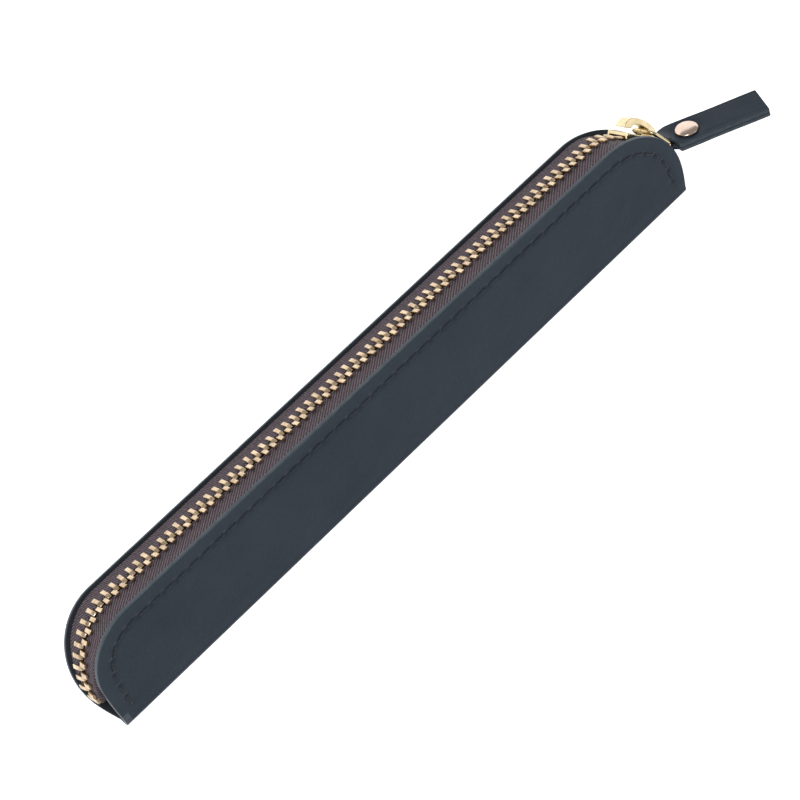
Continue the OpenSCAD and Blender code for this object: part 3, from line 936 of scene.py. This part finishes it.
def strap_mesh():
    """One strip folded round the ring's bar, its two layers pressed together by the rivet."""
    middle_y = STRAP_HALF - STRAP_T / 2
    eye = STRAP_T / 2 + 0.85
    s_flat = np.concatenate([np.linspace(STRAP_LEN, 4, 95), np.linspace(4, 1.9, 16)[1:]])
    top = [(s, middle_y + (eye - middle_y) * float(smooth(np.array((3.6 - s) / 3.4)))) for s in s_flat]
    arc = [(eye * math.cos(b), eye * math.sin(b)) for b in np.radians(np.linspace(62, 298, 37))]
    line = np.array(top + arc + [(s, -y) for s, y in reversed(top)])
    way = unit(np.gradient(line, axis=0))
    normal = np.column_stack([way[:, 1], -way[:, 0]])
    normal[line[:, 0] > 4.2] = np.where(line[line[:, 0] > 4.2, 1:] > 0, (0.0, 1.0), (0.0, -1.0))
    width = 6.4 + 3.1 * smooth((line[:, 0] - 0.4) / 2.6)
    width = width - 0.35 * np.exp(-((STRAP_LEN - line[:, 0]) / 0.12) ** 2)
    width = width + 0.08 * np.sin(line[:, 0] / 3.1)
    half_t = STRAP_T / 2
    edge_r = 0.34
    curve = [(math.cos(b), math.sin(b)) for b in np.radians(np.linspace(0, 90, 6))]
    rings, margins = [], []
    for (s, y), n, w in zip(line, normal, width):
        flat_w = w / 2 - edge_r
        outer = np.column_stack([np.linspace(-1, 1, 33) * flat_w, np.full(33, half_t)])
        right = [(flat_w + edge_r * c, half_t - edge_r + edge_r * t) for c, t in curve[::-1]]
        right += [(flat_w + edge_r * c, -half_t + edge_r - edge_r * t) for c, t in curve]
        left = [(-p, t) for p, t in right[::-1]]
        section = np.concatenate([outer, right, outer[::-1] * (1, -1), left])
        gap = np.hypot(s - RIVET_X, section[:, 0])
        pressed = 0.17 * (1 - smooth((gap - 2.7) / 2.2)) - 0.06 * np.exp(-((gap - 5.0) / 1.2) ** 2)
        burnish = 0.05 * np.exp(-((w / 2 - np.abs(section[:, 0]) - 1.1) / 0.22) ** 2)
        height = section[:, 1] - (pressed + burnish) * (section[:, 1] > 0.1) * (s > 3)
        local = np.column_stack([s + n[0] * height, y + n[1] * height, section[:, 0]])
        rings.append(local @ strap_frame(s).T)
        margins.append(np.clip(1 - (w / 2 - np.abs(section[:, 0])) / 0.8, 0, 1) * 0.6)
    points, faces = swept(np.array(rings))
    columns = len(rings[0])
    kind_of = [0] * 34 + [1] * 10 + [2] * 34 + [1] * (columns - 78)
    kinds = [kind_of[j] for _ in range(len(rings) - 1) for j in range(columns)] + [1, 1]
    obj = mesh_object("leather_strap", through(AT_EYE, points), faces, [STRAP_LEATHER, CUT_EDGE, SUEDE],
                      kinds, [("margin", np.concatenate(margins))])
    finish_piece(obj, "tab", "pull_strap")


strap_mesh()


def rivet_mesh(name, side, node, post):
    """A domed cap with a rolled rim; the lower one carries the post."""
    profile = [(0.0, -0.16), (2.72, -0.16), (2.86, -0.13), (2.97, 0.0), (3.0, 0.14), (2.98, 0.26),
               (2.9, 0.38), (2.72, 0.50), (2.45, 0.63), (2.1, 0.745), (1.7, 0.835), (1.25, 0.90),
               (0.8, 0.937), (0.4, 0.95), (0.0, 0.953)]
    if post:
        profile = [(0.0, -1.9), (0.85, -1.9), (1.0, -1.75), (1.0, -0.16)] + profile[1:]
    seat = STRAP_HALF + 0.01
    count = 72
    around = circle(count)
    rings = [np.column_stack([RIVET_X + r * np.cos(around), np.full(count, side * (seat + h)),
                              r * np.sin(around)]) for r, h in profile[1:-1]]
    points, faces = swept(np.array(rings), False)
    last = len(points)
    poles = [(RIVET_X, side * (seat + profile[k][1]), 0) for k in (0, -1)]
    points = np.concatenate([points, poles])
    faces += [(j, (j + 1) % count, last) for j in range(count)]
    edge = last - count
    faces += [(edge + (j + 1) % count, edge + j, last + 1) for j in range(count)]
    obj = mesh_object(name, through(AT_STRAP, points), faces, [RIVET])
    finish_piece(obj, "tab", node)


rivet_mesh("strap_rivet_cap", 1, "rivet_cap", False)
rivet_mesh("strap_rivet_base", -1, "rivet_base", True)


# ---- floor, light and camera ---------------------------------------------
def floor():
    """White paper under the case."""
    mat, tree, shader = new_material("floor_paper", (0.93, 0.93, 0.93), 0.9)
    shader.inputs["Emission Color"].default_value = (1, 1, 1, 1)
    shader.inputs["Emission Strength"].default_value = 0.9
    vector = coords(tree)
    faint = ramp(tree, noise(tree, vector, 30, 2), [(0.3, grey(0.92)), (0.7, grey(0.94))])
    tree.links.new(faint, shader.inputs["Base Color"])
    mesh = bpy.data.meshes.new("floor")
    size = 3.0
    corners = [(-size, -size, 0), (size, -size, 0), (size, size, 0), (-size, size, 0)]
    mesh.from_pydata(corners, [], [(0, 1, 2, 3)])
    mesh.materials.append(mat)
    obj = bpy.data.objects.new("floor", mesh)
    bpy.context.scene.collection.objects.link(obj)


def area_light(name, spot, size, power):
    """A round white light aimed at the middle of the case."""
    light = bpy.data.lights.new(name, "AREA")
    light.shape = "DISK"
    light.size = size
    light.energy = power
    obj = bpy.data.objects.new(name, light)
    obj.location = spot
    obj.rotation_euler = (-Vector(spot)).to_track_quat("-Z", "Y").to_euler()
    bpy.context.scene.collection.objects.link(obj)


floor()
area_light("key", (-0.35, 0.45, 0.75), 0.35, 3.4)
area_light("fill", (0.6, -0.5, 0.6), 0.8, 1.6)
area_light("rim", (-0.6, -0.5, 0.5), 0.5, 0.9)

world = bpy.data.worlds.new("studio")
world.use_nodes = True
world.node_tree.nodes["Background"].inputs["Color"].default_value = (1, 1, 1, 1)
world.node_tree.nodes["Background"].inputs["Strength"].default_value = 0.38
bpy.context.scene.world = world
bpy.context.scene.view_settings.view_transform = "Standard"

# the camera was fitted to the photo's outline
lens = bpy.data.cameras.new("camera")
lens.sensor_width = 36
lens.lens = 123.19785
lens.shift_x = 0.016637
lens.shift_y = -0.001775
lens.clip_start = 0.01
camera = bpy.data.objects.new("camera", lens)
camera.matrix_world = Matrix(((0.6900, 0.6529, -0.3124, -0.20397), (-0.6147, 0.7565, 0.2233, 0.14477),
                              (0.3821, 0.0380, 0.9233, 0.60777), (0, 0, 0, 1)))
bpy.context.scene.collection.objects.link(camera)
bpy.context.scene.camera = camera
